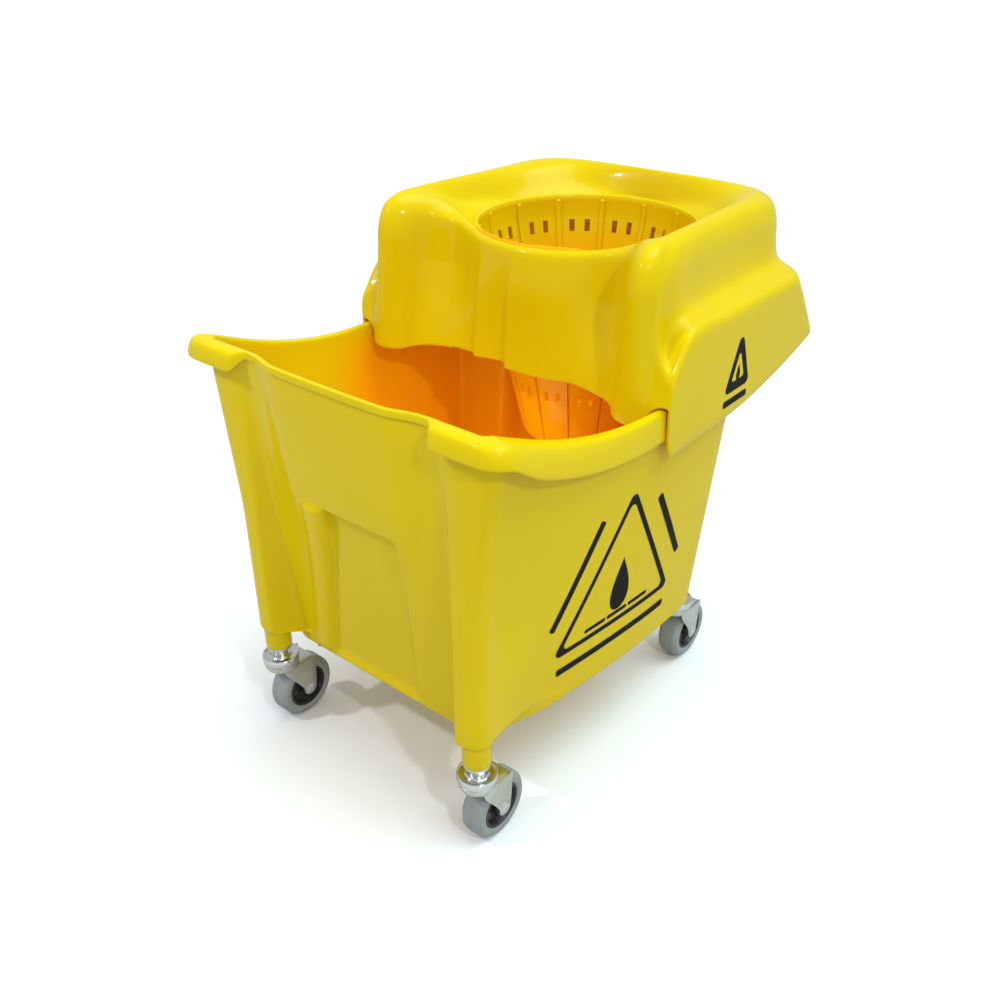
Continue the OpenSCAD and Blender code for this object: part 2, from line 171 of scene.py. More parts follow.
def ramp(tree, value, low, high, to_low=0.0, to_high=1.0):
    """Stretches low..high of a value to to_low..to_high, and clamps it."""
    made = node(tree, "MapRange")
    for key, number in (("From Min", low), ("From Max", high), ("To Min", to_low), ("To Max", to_high)):
        made.inputs[key].default_value = number
    tree.links.new(value, made.inputs["Value"])
    return made.outputs["Result"]


def maths(tree, operation, a, b):
    """One sum of two values or sockets."""
    made = node(tree, "Math", operation=operation)
    for socket, value in zip(made.inputs, (a, b)):
        if isinstance(value, (int, float)):
            socket.default_value = value
        else:
            tree.links.new(value, socket)
    return made.outputs["Value"]


def tint(tree, mask, first, second):
    """first where the mask is 0, second where it is 1; each is a socket or a colour."""
    made = node(tree, "Mix", data_type="RGBA")
    tree.links.new(mask, made.inputs["Factor"])
    for socket, value in ((made.inputs[6], first), (made.inputs[7], second)):
        if isinstance(value, tuple):
            socket.default_value = value
        else:
            tree.links.new(value, socket)
    return made.outputs[2]


# %% Group: blotches, fine grain and scuffs
speckle, speckle_in, speckle_out = group(
    "moulded_skin",
    [("Vector", "Vector", None), ("Blotch Size", "Float", 9.0), ("Grain Size", "Float", 900.0),
     ("Scuff Size", "Float", 55.0)],
    [("Blotch", "Float"), ("Height", "Float"), ("Scuff", "Float")])
for source, target, detail in (("Blotch Size", "Blotch", 2.0), ("Grain Size", "Height", 2.0)):
    spots = node(speckle, "TexNoise", Detail=detail)
    speckle.links.new(speckle_in.outputs["Vector"], spots.inputs["Vector"])
    speckle.links.new(speckle_in.outputs[source], spots.inputs["Scale"])
    speckle.links.new(spots.outputs["Fac"], speckle_out.inputs[target])
stretched = node(speckle, "Mapping")
stretched.inputs["Scale"].default_value = (1, 1, 0.12)
stretched.inputs["Rotation"].default_value = (0.5, 0.3, 0)
speckle.links.new(speckle_in.outputs["Vector"], stretched.inputs["Vector"])
lines = node(speckle, "TexNoise", Detail=6.0)
speckle.links.new(stretched.outputs["Vector"], lines.inputs["Vector"])
speckle.links.new(speckle_in.outputs["Scuff Size"], lines.inputs["Scale"])
speckle.links.new(ramp(speckle, lines.outputs["Fac"], 0.62, 0.72), speckle_out.inputs["Scuff"])

# %% Finishes


def finish(name, colour, roughness, metallic=0.0, coat=0.0, second=None, sizes=(9.0, 900.0, 55.0),
           rough_swing=0.06, scuff_rough=0.1, bump=0.02, depth=0.0002, painted_shade=None, **constants):
    """A material: two near colours in blotches, roughness that varies and scuffs, and a fine bump.

    An optional colour of painted shade comes in where the piece's own attribute of painted shade rises to 1: it stands
    in for the shadow and bounced light deep inside the tub, the cone and the hood.
    """
    made = bpy.data.materials.new(name)
    made.use_nodes = True
    tree = made.node_tree
    shader = tree.nodes["Principled BSDF"]
    skin = tree.nodes.new("ShaderNodeGroup")
    skin.node_tree = speckle
    for key, value in zip(("Blotch Size", "Grain Size", "Scuff Size"), sizes):
        skin.inputs[key].default_value = value
    place = node(tree, "TexCoord")
    tree.links.new(place.outputs["Object"], skin.inputs["Vector"])
    second = second or tuple(c * 0.9 for c in colour)
    blotch = ramp(tree, skin.outputs["Blotch"], 0.35, 0.65)
    shade = tint(tree, blotch, colour + (1,), second + (1,))
    # painted shade: where the attribute rises, the colour turns to the orange that stands in for shadow and bounced
    # light
    if painted_shade:
        painted_shade_mask = node(tree, "Attribute", attribute_name="painted_shade").outputs["Fac"]
        shade = tint(tree, painted_shade_mask, shade, painted_shade + (1,))
    tree.links.new(shade, shader.inputs["Base Color"])
    worn = maths(tree, "MULTIPLY", skin.outputs["Scuff"], scuff_rough)
    uneven = ramp(tree, skin.outputs["Blotch"], 0.3, 0.7, roughness - rough_swing, roughness + rough_swing)
    tree.links.new(maths(tree, "ADD", uneven, worn), shader.inputs["Roughness"])
    relief = node(tree, "Bump")
    relief.inputs["Strength"].default_value = bump
    relief.inputs["Distance"].default_value = depth
    tree.links.new(skin.outputs["Height"], relief.inputs["Height"])
    tree.links.new(relief.outputs["Normal"], shader.inputs["Normal"])
    shader.inputs["Metallic"].default_value = metallic
    shader.inputs["Coat Weight"].default_value = coat
    shader.inputs["Coat Roughness"].default_value = 0.03
    for key, value in constants.items():
        shader.inputs[key.replace("_", " ")].default_value = value
    return made


# the orange is painted shade: it stands in for the shadow and bounced light deep inside the tub, the cone and the hood
YELLOW, YELLOW_TOO, PAINTED_SHADE_ORANGE = (0.77, 0.57, 0.002), (0.75, 0.545, 0.002), (0.98, 0.43, 0.003)
PLASTIC = dict(roughness=0.2, coat=0.13, second=YELLOW_TOO, sizes=(7.0, 700.0, 40.0), scuff_rough=0.05, bump=0.05,
               Specular_IOR_Level=0.07)
yellow = finish("yellow_plastic", YELLOW, **PLASTIC)
yellow_painted_shade = finish("yellow_plastic_painted_shade", YELLOW, painted_shade=PAINTED_SHADE_ORANGE, **PLASTIC)
zinc = finish("zinc_plate", (0.74, 0.76, 0.72), 0.30, metallic=1.0, second=(0.66, 0.67, 0.60),
              sizes=(60.0, 1500.0, 200.0), bump=0.15)
bright = finish("bright_plate", (0.80, 0.81, 0.82), 0.12, metallic=1.0, sizes=(40.0, 1200.0, 160.0), bump=0.05)
black = finish("black_plastic", (0.018, 0.018, 0.019), 0.38, second=(0.028, 0.027, 0.026),
               sizes=(50.0, 1400.0, 150.0), bump=0.2)
rubber = finish("grey_rubber", (0.33, 0.36, 0.355), 0.5, second=(0.29, 0.315, 0.31),
                sizes=(45.0, 1800.0, 120.0), bump=0.3)
ink = finish("print_ink", (0.006, 0.006, 0.006), 0.6, second=(0.009, 0.009, 0.009), sizes=(90.0, 2500.0, 200.0),
             Specular_IOR_Level=0.1)
print("finishes:", [m.name for m in (yellow, yellow_painted_shade, zinc, bright, black, rubber, ink)])

# %% [markdown]
# ## From a flat grid to a moulded wall
# A moulded tub is one long sheet that goes up outside, folds over the rim and comes down inside. We make it from a
# primitive grid: each row of the grid is laid round one ring of the wall, and the seam is merged.

# %% Helpers for shapes
ORIGIN_BACK = 244  # the frame's origin lies this far behind the front wheels' axle line, in millimetres


def at(x, y, z):
    """Millimetres from the front axle line to the frame's metres."""
    return Vector((x, y - ORIGIN_BACK, z)) / 1000


def clamp01(t):
    return min(max(t, 0.0), 1.0)


def ease(t):
    c = clamp01(t)
    return c * c * (3 - 2 * c)


def mix(a, b, t):
    return a + (b - a) * t


def clean_start():
    """Object mode, with nothing selected."""
    if bpy.context.object and bpy.context.object.mode != "OBJECT":
        bpy.ops.object.mode_set(mode="OBJECT")
    bpy.ops.object.select_all(action="DESELECT")


def faced(piece, inside=False, merge=None):
    """Turns the faces outward, or inward, after merging doubled points where a distance is given."""
    bpy.ops.object.mode_set(mode="EDIT")
    bpy.ops.mesh.select_all(action="SELECT")
    if merge:
        bpy.ops.mesh.remove_doubles(threshold=merge)
    bpy.ops.mesh.normals_make_consistent(inside=inside)
    bpy.ops.object.mode_set(mode="OBJECT")
    return piece


def wrapped(name, rings, painted_shade=None):
    """A primitive grid whose rows are laid round the rings, in millimetres, and joined into a tube.

    An optional function of (row, point) fills the attribute of painted shade, which tells a finish how deep in the
    shade a point lies, so that it paints an orange for that shade.
    """
    around = len(rings[0])
    clean_start()
    bpy.ops.mesh.primitive_grid_add(x_subdivisions=around, y_subdivisions=len(rings) - 1, size=1)
    piece = bpy.context.object
    piece.name = piece.data.name = name
    shade = piece.data.attributes.new("painted_shade", "FLOAT", "POINT") if painted_shade else None
    for v in piece.data.vertices:
        row, column = divmod(v.index, around + 1)
        v.co = at(*rings[row][column % around])
        if painted_shade:
            shade.data[v.index].value = painted_shade(row, rings[row][column % around])
    return faced(piece, merge=1e-6)


def applied(piece, kind, **settings):
    """Adds a modifier with its settings and applies it."""
    bpy.context.view_layer.objects.active = piece
    made = piece.modifiers.new(kind.lower(), kind)
    for key, value in settings.items():
        setattr(made, key, value)
    bpy.ops.object.modifier_apply(modifier=made.name)
    return piece


def smoothed(piece, angle=40):
    """Smooth shading, with edges sharper than the angle kept."""
    clean_start()
    piece.select_set(True)
    bpy.context.view_layer.objects.active = piece
    bpy.ops.object.shade_smooth_by_angle(angle=math.radians(angle))
    return piece


def subdivided(piece, levels=1):
    return applied(piece, "SUBSURF", levels=levels, render_levels=levels)


def given(piece, material, body, slot, *nodes):
    """The last things that every piece needs: its finish, its body, and what it stands for."""
    piece.data.materials.clear()
    piece.data.materials.append(material)
    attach(piece, body)
    if nodes:
        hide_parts(*nodes)
    triangles = sum(len(p.vertices) - 2 for p in piece.data.polygons)
    print(piece.name, "on", body, "with", triangles, "triangles")


def through(points, per):
    """A smooth curve through points of any dimension, with per steps from each to the next."""
    line = []
    count = len(points)
    for k in range(count - 1):
        a, b = points[max(k - 1, 0)], points[k]
        c, d = points[k + 1], points[min(k + 2, count - 1)]
        near = max(math.dist(b, c), 1e-6)
        before, after = max(math.dist(a, b), 1e-6), max(math.dist(c, d), 1e-6)
        leave = [(c[i] - a[i]) / (near + before) * near if k else c[i] - b[i] for i in range(len(b))]
        arrive = [(d[i] - b[i]) / (near + after) * near if k < count - 2 else c[i] - b[i] for i in range(len(b))]
        for s in range(per):
            t = s / per
            h = (2 * t**3 - 3 * t**2 + 1, t**3 - 2 * t**2 + t, -2 * t**3 + 3 * t**2, t**3 - t**2)
            line.append(tuple(h[0] * b[i] + h[1] * leave[i] + h[2] * c[i] + h[3] * arrive[i]
                              for i in range(len(b))))
    return line + [tuple(points[-1])]


# %% [markdown]
# ## The tub
# The tub narrows towards the floor and towards the front, and its corners carry round posts that end in the legs.
# The middle of the front bulges out as a spout, whose lower edge sags over a shallow recess with a round rib on its
# left.

# %% The tub's walls
FLOOR_Z, RIM_Z, HORN_Z, WALL = 118, 434, 489, 4
POST_FOOT = 140
TRACK_HALF, FRONT_STEM_Y, REAR_STEM_Y = 152, -24.4, 368.1
LIP_Z = 342  # height of the spout's lower edge


def narrowing(y):
    return max(265 - y, 0) / 305


def rise(z):
    return (z - FLOOR_Z) / 317


def wall_x(y, z):
    return mix(184 - 39.5 * narrowing(y)**1.5, 203 - 21 * narrowing(y)**1.3, rise(z))


def front_y(z):
    return mix(-5, -40, (z - FLOOR_Z) / 342)


def rear_y(z):
    return mix(344, 365, rise(z))


def fold_x(z):
    """The left edge of the recess, which leans outward going down."""
    return mix(-74, -36, clamp01((z - 130) / 212))


def panel_y(x, z, fine):
    """The front wall at x and z. fine adds the recess, its lip and the rib."""
    bulge = 11 * ease((114 - abs(x)) / 44) * (0.8 + 0.2 * math.cos(x / 60))
    if not fine:
        hollow = ease((LIP_Z + 6 - z) / 20) * ease((z - 121) / 8) * ease((x - fold_x(z) + 10) / 12)
        hollow *= ease((72 - x) / 20)
        return front_y(z) - bulge * ease((z - 250) / 150) + hollow * (bulge * ease((z - 235) / 150) * 0.6 + 3)
    y = front_y(z) - bulge * ease((z - 235) / 150)
    below = ease((LIP_Z - z) / 3) * ease((z - 125) / 5)
    inside = ease((x - fold_x(z)) / 2) * ease((62 - x) / mix(16, 4, clamp01((z - 170) / 150)))
    y += below * inside * (bulge * ease((z - 235) / 150) * 0.75 + 5)
    from_rib = (x - (fold_x(z) - 15)) / 15
    return y - below * 6 * math.sqrt(max(1 - from_rib**2, 0))


# %% Stations round the tub
PANEL_HALF = 105
PANEL_SPLITS = (6, 8, 2, 24, 2, 12)


def panel_x(z):
    """Stations along the front wall, gathered at the folds so that the folds stay crisp."""
    fold = fold_x(z)
    marks = (-PANEL_HALF, fold - 31, fold, fold + 4, 58, 63, PANEL_HALF)
    line = [mix(a, b, k / n) for a, b, n in zip(marks, marks[1:], PANEL_SPLITS) for k in range(n)]
    return line + [PANEL_HALF]


def side_stations(z, posts):
    """The right-hand side of the tub's outline, from the front wall's end to the middle of the back."""
    yf, yr, w = front_y(z), rear_y(z), wall_x(-20, z)
    wp, wr = max(w, TRACK_HALF + 17), wall_x(rear_y(z), z)
    px = TRACK_HALF
    back = yr + max(3, (REAR_STEM_Y + 18 - yr) * ease((392 - z) / 60))
    if posts:
        line = [(px - 26, panel_y(px - 26, z, False)), (px - 19, mix(yf, -43, 0.5)), (px - 14, min(yf, -41) - 0.6),
                (px - 7, -43), (wp - 14, -42.5), (wp - 4, -37), (wp, -25), (max(w + 0.5, wp - 2.5), -11)]
        start = -2
    else:
        bend = mix(25, 12, ease((z - 400) / 30))
        line = [(mix(105, w - bend, k / 4.6), yf) for k in range(1, 5)]
        line += [(w - bend + bend * math.cos(math.radians(a)), yf + bend * (1 + math.sin(math.radians(a))))
                 for a in (-90, -60, -30, 0)]
        start = yf + bend
    line += [(wall_x(y, z), y) for y in (mix(start, yr - 12, k / 6) for k in range(1, 6))]
    line += [(wr - 12 * (1 - math.cos(a)), yr - 12 + 12 * math.sin(a)) for a in (0, math.pi / 4, math.pi / 2)]
    if posts:
        line += [(px + 18, mix(yr, back, 0.5)), (px + 13, back - 4), (px, back), (px - 13, back - 4),
                 (px - 18, mix(yr, back, 0.5))]
    else:
        line += [(mix(wr - 12, 130, k / 6), yr) for k in range(1, 6)]
    reach = 118 * math.sin(math.radians(90 * clamp01((z - 132) / 250)))
    return line + [(122 * math.cos(math.radians(a)), yr + reach * math.sin(math.radians(a)))
                   for a in (0, 22.5, 45, 67.5, 90)]


def outline(z, posts, fine):
    """The tub's outline at height z, anticlockwise from above, starting at the front wall's left end."""
    front = [(x, panel_y(x, z, fine)) for x in panel_x(z)]
    right = through([front[-1]] + side_stations(z, posts), 3)[1:]
    return front + right + [(-x, y) for x, y in reversed(right[:-1])]


def outward(line, i):
    """The outward direction at point i of a closed outline."""
    (ax, ay), (bx, by) = line[i - 1], line[(i + 1) % len(line)]
    size = math.hypot(bx - ax, by - ay) or 1
    return (by - ay) / size, -(bx - ax) / size


def tub_ring(z, posts=True, grow=0.0, fine=True, climb=0.0):
    """A ring of the tub's wall. climb lifts it towards the front, as the rim sweeps up."""
    line = outline(z, posts, fine)
    if climb:
        # where the rim sweeps up, each point slides up its own wall
        raised, lifted = {}, []
        for i, (x, y) in enumerate(line):
            up = round(climb * (rim_top(y) - RIM_Z))
            if up not in raised:
                raised[up] = outline(z + up, posts, fine)
            lifted.append(raised[up][i])
        heights = [z + climb * (rim_top(y) - RIM_Z) for x, y in line]
        line = lifted
    else:
        heights = [z] * len(line)
    ring = []
    for i, (x, y) in enumerate(line):
        dx, dy = outward(line, i)
        ring.append((x + dx * grow, y + dy * grow, heights[i]))
    return ring


# %% [markdown]
# ## The rim
# The rim is a hollow fold: the wall turns out, over and down into a skirt. It lies level behind, where the wringer
# grips it, and sweeps up to two horns in front. Between the horns it thins to a pouring edge.

# %% The rim's rings


def rim_top(y):
    return min(HORN_Z, RIM_Z + 55 * (max(190 - y, 0) / 220)**2)


def horn(x):
    """0 along the pouring edge, 1 on the horns."""
    return ease((abs(x) - 121) / 8)


def flange(x, y):
    """How far the rim stands out sideways and lengthways."""
    if y > 330:
        return 6, 6
    broad = max(207.8 - wall_x(y, RIM_Z), 4)
    return (broad, broad) if y > -20 else (mix(2.4, broad, horn(x)), mix(2.4, 16.5, horn(x)))


def skirt(x, y):
    return mix(7, 20, horn(x)) if y < -34 else mix(20, 32, ease((y + 34) / 30))


RIM_LINE = outline(RIM_Z, False, False)


def rim_ring(out, down, inset=0.0, drop=0.0):
    """A ring along the rim: out is in flange widths, down in skirt heights, inset and drop in millimetres."""
    ring = []
    for i, (x, y) in enumerate(RIM_LINE):
        dx, dy = outward(RIM_LINE, i)
        if abs(x) > 150 and y < -20:  # the horns' corners are squarer than the wall's
            dx, dy = (math.copysign(abs(d)**0.5, d) for d in (dx, dy))
        wide, long = flange(x, y)
        ring.append((x + dx * (out * wide - inset), y + dy * (out * long - inset) - 3.2 * ease(-(y + 5) / 30),
                     rim_top(y) - down * skirt(x, y) - drop))
    return ring


outer = [tub_ring(FLOOR_Z, False, -6), tub_ring(FLOOR_Z + 1, False, -2.5), tub_ring(FLOOR_Z + 4, False),
         tub_ring(127, False), tub_ring(132, False), tub_ring(POST_FOOT - 1.5, False), tub_ring(POST_FOOT)]
outer += [tub_ring(z) for z in (143, 155, 175, 200, 225, 250, 275, 295, 310, 322, 330, 335, 338, 340.5, 342.5, 345)]
outer += [tub_ring(z, climb=ease((z - 335) / 90)) for z in (350, 358, 370, 385, 400, 412)]
rim = [rim_ring(0.0, 0.25, drop=8), rim_ring(0.02, 0.22, drop=4), rim_ring(0.3, 0.2, drop=3),
       rim_ring(0.58, 0.24, drop=3), rim_ring(0.7, 0.5), rim_ring(0.76, 0.92), rim_ring(0.79, 1), rim_ring(0.97, 1),
       rim_ring(1, 0.95), rim_ring(0.95, 0.6), rim_ring(0.86, 0.3), rim_ring(0.74, 0.1), rim_ring(0.58, 0.015),
       rim_ring(0.3, 0), rim_ring(0.05, 0), rim_ring(0, 0.0, inset=2), rim_ring(0, 0.02, inset=3.4, drop=0.4),
       rim_ring(0, 0.05, inset=4, drop=2), rim_ring(0, 0.1, inset=4, drop=8)]
inner = [tub_ring(z, False, -WALL, False, climb=ease((z - 335) / 90)) for z in (412, 385, 358)]
inner += [tub_ring(z, False, -WALL, False) for z in (330, 300, 270, 235, 200, 165, 140, FLOOR_Z + 12)]
inner += [tub_ring(FLOOR_Z + WALL + 1.5, False, -WALL - 2, False), tub_ring(FLOOR_Z + WALL, False, -WALL - 8, False)]


def shrunk(ring, scale, z):
    """A ring drawn in towards the middle of the floor."""
    return [(x * scale, 160 + (y - 160) * scale, z) for x, y, _ in ring]


inside_floor = [shrunk(inner[-1], s, FLOOR_Z + WALL) for s in (0.7, 0.35, 0)]
under_floor = [shrunk(outer[0], s, FLOOR_Z) for s in (0, 0.35, 0.7)]
first_inside = len(under_floor + outer + rim)


def tub_painted_shade(row, point):
    """Painted shade: inside, towards the back and the bottom, an orange is painted for the hood's shadow and for light
    that has bounced off yellow walls.
    """
    return 0.0 if row < first_inside - 3 else ease((point[1] - 105) / 90) * ease((440 - point[2]) / 45)


tub = wrapped("bucket_tub", under_floor + outer + rim + inner + inside_floor, tub_painted_shade)
subdivided(tub)
smoothed(tub, 60)
given(tub, yellow_painted_shade, "bucket", "bucket_plastic", "bucket_shell")

# %% [markdown]
# ## The legs
# Four round legs hang from the corner posts, with a web between each leg and the tub. Each is a cylinder whose foot
# is rounded by a bevel.

# %% Legs and webs
LEG_R, LEG_HIGH, LEG_FOOT = 15, 67.3, 112.7
for corner in CORNERS:
    sx = -1 if "left" in corner else 1
    y = FRONT_STEM_Y if "front" in corner else REAR_STEM_Y
    toward = 1 if "front" in corner else -1
    clean_start()
    bpy.ops.mesh.primitive_cylinder_add(vertices=64, radius=LEG_R / 1000, depth=LEG_HIGH / 1000,
                                        location=at(sx * TRACK_HALF, y, LEG_FOOT + LEG_HIGH / 2))
    leg = bpy.context.object
    bpy.ops.mesh.primitive_cube_add(size=1, scale=(0.010, 0.020, 0.030),
                                    location=at(sx * TRACK_HALF, y + toward * 10, 136))
    web = bpy.context.object
    leg.select_set(True)
    bpy.context.view_layer.objects.active = leg
    bpy.ops.object.join()
    leg.name = leg.data.name = f"{corner}_leg"
    bpy.ops.object.transform_apply(location=True, rotation=True, scale=True)
    applied(leg, "BEVEL", width=0.0015, segments=3, limit_method="ANGLE")
    smoothed(leg)
    given(leg, yellow, "bucket", "bucket_plastic")

# %% [markdown]
# ## The wringer's hood
# The hood is a thin sheet that starts at the round mouth, dishes up to a crest and falls as an apron in front, as
# pillars at the sides and as cheeks that hang over the rim. We lay a grid from the mouth down to the edges, and
# Solidify gives it its thickness.

# %% Stations of the hood
CONE_Y, MOUTH_R, MOUTH_Z, CREST_Z = 355, 128, 556, 588
CHEEK_X, CHEEK_Z, HOOD_T, BACK_Y = 212.2, 382, 3.5, 545


def apron(px, py, top, foot, angle, low=None):
    """A station in front: crest point, crest height, lower point, heights down the outside, angle on the mouth."""
    heights = [mix(top - 14, foot, t) for t in (0.28, 0.42, 0.54, 0.66, 0.78, 0.9, 1)]
    return (px, py), top, low or (px, py), heights, angle


def cheek(px, py, low, angle):
    """A station at the sides and back, where the outside steps out to the cheek."""
    ledge = 506 - 56 * (1 - clamp01((low[1] - 198) / 36))**2.5
    foot = mix(CHEEK_Z, 425, clamp01((low[1] - 310) / 235)**1.7)
    return (px, py), CREST_Z, low, [ledge + 36, ledge + 13, ledge + 5, ledge, ledge - 10,
                                   mix(ledge, foot, 0.5), foot], angle


def crested(x, y, station):
    """The same station with its crest moved in to x, y."""
    return ((x, y),) + station[1:]


SIDE = [apron(107, 251, 559, 420, -44, (106, 219)), apron(127, 242, 567, 417, -35, (126, 216)),
        apron(138, 226, 571, 415, -28, (138, 208)), crested(145, 210, apron(145, 198, 577, 413, -23)),
        crested(154, 199, apron(157, 189, 583, 413, -19)), crested(165, 194, apron(171, 186, 586, 413, -15)),
        crested(174, 197, apron(183, 189, CREST_Z, 415, -11)),
        ((180, 204), CREST_Z, (188, 194), [520, 498, 478, 462, 448, 436, 424], -8),
        ((182, 208), CREST_Z, (198, 196.5), [520, 498, 478, 462, 450, 442, 436], -6.5),
        ((183, 212), CREST_Z, (CHEEK_X, 199), [520, 498, 478, 462, 450, 442, 435], -5)]
SIDE += [cheek(x, y, (CHEEK_X, low), a)
         for x, y, low, a in ((184, 222, 205, -2), (184, 242, 235, 4), (179, 290, 299, 11), (176, 345, 359, 19),
                              (175, 395, 415, 28))]
SIDE += [cheek(175, 440, (CHEEK_X, 470), 38)]
for k in range(4):
    c, s = math.cos(math.radians(30 * k)), math.sin(math.radians(30 * k))
    SIDE.append(cheek(123 + 52 * c, 461 + 52 * s, (CHEEK_X - 22 + 22 * c, 523 + 22 * s), 46 + 8 * k))
SIDE += [cheek(70, 513, (105, BACK_Y), 79), cheek(0, 513, (0, BACK_Y), 90)]
APRON_X = (-84, -77, -70, -62, -54, -48.5, -46, -43.5, -39, -33, -27, -20, -13, -6, -1, 1, 3, 5, 9, 15, 22, 29, 36, 43,
           50, 57, 64, 71, 78, 84)


def front_station(x):
    a = math.degrees(math.asin(x / 140)) - 90
    y = CONE_Y - math.sqrt(140**2 - x**2)
    return apron(x, y, MOUTH_Z + 2 * ease((abs(x) - 55) / 35), 423, a, (x, 221))


def mirrored(s):
    return (-s[0][0], s[0][1]), s[1], (-s[2][0], s[2][1]), s[3], 180 - s[4]


def lean(p, z):
    """Above their foot the cheeks' backs lean forward, most of all at the sides."""
    far = mix(27, 60, clamp01((abs(p[0]) - 110) / 100))
    return p[0], p[1] - far * clamp01((z - 425) / 75) * clamp01((p[1] - 430) / 70)


REACH = (0, 0, 0, 0, 0, 0, 0.03, 0.15, 0.45, 0.88, 1, 1, 1)
APRON_REACH = (0, 0, 0, 0, 0, 0, 0.1, 0.25, 0.4, 0.58, 0.75, 0.9, 1)


def station_curve(stations, i):
    """The 13 points of station i, from the mouth down to the lower edge."""
    crest = [s[0] for s in stations]
    (cx, cy), top, low, heights, angle = stations[i]
    mx = (MOUTH_R + 2) * math.cos(math.radians(angle))
    my = CONE_Y + (MOUTH_R + 2) * math.sin(math.radians(angle))
    far = math.dist((cx, cy), (mx, my))
    dx, dy = outward(crest, i)
    up = top - MOUTH_Z
    pillar = ease((235 - cy) / 20)
    round_in, round_down = mix(7, mix(20, 30, pillar), up / 32), mix(13, mix(25, 36, pillar), up / 32)
    # inward runs towards the mouth, so that neighbouring stations never cross
    ix, iy = (mx - cx) / far, (my - cy) / far
    inward = min(round_in / max(-(ix * dx + iy * dy), 0.45), far * 0.5)
    shoulder = (cx + ix * inward, cy + iy * inward)
    edge = (cx + ix * inward * 0.3, cy + iy * inward * 0.3)
    points = [(mx, my, MOUTH_Z),
              (mix(mx, shoulder[0], 0.35), mix(my, shoulder[1], 0.35), MOUTH_Z + 0.24 * up),
              (mix(mx, shoulder[0], 0.7), mix(my, shoulder[1], 0.7), MOUTH_Z + 0.76 * up),
              (*shoulder, top), (*edge, top - round_down * 0.3), (cx, cy, top - round_down)]
    reach = REACH if low[0] in (CHEEK_X, -CHEEK_X) or low[1] > 300 else APRON_REACH
    for k in range(6, 13):
        z = heights[k - 6]
        bx, by = lean(low, z)
        points.append((mix(cx, bx, reach[k]), mix(cy, by, reach[k]), z))
    return points


# %% The hood's sheet
SMOOTHING = ((1, 45), (2, 45), (3, 24), (4, 10), (5, 4))  # how often each level is evened out along its length


def apron_relief(x, depth):
    """How far the apron's face stands out: a rib with a sharp left edge, then a sharp step to the right-hand panel."""
    rib = ease((x + 48) / 4) * clamp01((-x - 8) / 40) * mix(4, 9, depth)
    return ease(depth * 9) * (rib + mix(4, 9, depth) * ease((x + 1) / 5) * ease((96 - x) / 40))


stations = [front_station(x) for x in APRON_X] + SIDE + [mirrored(s) for s in reversed(SIDE[:-1])]
curves = [station_curve(stations, i) for i in range(len(stations))]
front_count, side_count = len(APRON_X), len(SIDE)
for i in range(front_count):
    x = APRON_X[i]
    down = [clamp01((546 - pz) / 122) for px, py, pz in curves[i]]
    fan = 9 * (1 - (x / 90)**2)
    curves[i] = [(px - fan * d, py - apron_relief(x, d), pz) for (px, py, pz), d in zip(curves[i], down)]
    ex, ey, ez = curves[i][-1]
    curves[i][-1] = (ex, ey, ez - 3 * ease((x + 1) / 5) * ease((70 - x) / 40))
levels = []
for k in range(13):
    front = [c[k] for c in curves[:front_count]]
    right = through([front[-1]] + [c[k] for c in curves[front_count:front_count + side_count]], 3)[1:]
    levels.append(front + right + [(-x, y, z) for x, y, z in reversed(right[:-1])])
for k, passes in SMOOTHING:
    for _ in range(passes):
        ring = levels[k]
        levels[k] = [tuple((a + 2 * b + c) / 4 for a, b, c in zip(ring[i - 1], ring[i], ring[(i + 1) % len(ring)]))
                     for i in range(len(ring))]
columns = [through([level[i] for level in levels], 3) for i in range(len(levels[0]))]
sheet = [[(min(max(c[k][0], -CHEEK_X), CHEEK_X), min(c[k][1], BACK_Y), min(c[k][2], CREST_Z)) for c in columns]
         for k in range(len(columns[0]))]


def mouth_ring(radius, z):
    """A level ring inside the mouth, each point under its own station."""
    ring = []
    for x, y, _ in sheet[0]:
        size = math.hypot(x, y - CONE_Y)
        ring.append((x / size * radius, CONE_Y + (y - CONE_Y) / size * radius, z))
    return ring


sheet = [mouth_ring(128.6, 538), mouth_ring(128.6, 548), mouth_ring(128.7, 553.5), mouth_ring(129.2, 555.5)] + sheet
hood = faced(wrapped("wringer_shell", sheet))
outside_points = len(hood.data.vertices)
applied(hood, "SOLIDIFY", thickness=HOOD_T / 1000, offset=-1.0, use_even_offset=False)
# the hood's underside gets the full painted shade: orange painted for the shadow under the hood
shade = hood.data.attributes.new("painted_shade", "FLOAT", "POINT")
for v in hood.data.vertices:
    shade.data[v.index].value = 1.0 if v.index >= outside_points else 0.0
subdivided(hood)
smoothed(hood, 60)
given(hood, yellow_painted_shade, "wringer", "wringer_plastic", "wringer_hood")

# %% [markdown]
# ## The cone
# The cone is a funnel inside the mouth. Thin ribs run down its inside, and pairs of slots between them let the water
# out. Its grid has columns just where the ribs and the slots are, so that a slot is a face that is left out.

# %% The cone
CONE_TOP, CONE_LOW, CONE_FOOT_Z, CONE_FOOT_R, SECTORS = 554, 535, 300, 72, 14
# degrees from the middle of a sector, and how far a rib stands in there
COLUMNS = ((-12.857, 2.5), (-12.4, 2.5), (-12.0, 0), (-9, 0), (-6.2, 0), (-4.6, 0), (-3.0, 0), (0, 0), (3.0, 0),
           (4.6, 0), (6.2, 0), (9, 0), (12.0, 0), (12.4, 2.5))
SLOT_TOPS, SLOT_H, SLOT_BAND = (526, 489, 452, 415, 378), 14, (3.0, 6.2)
PLAIN_AT, PLAIN_HALF = 35, 38  # the sectors near this direction have no slots


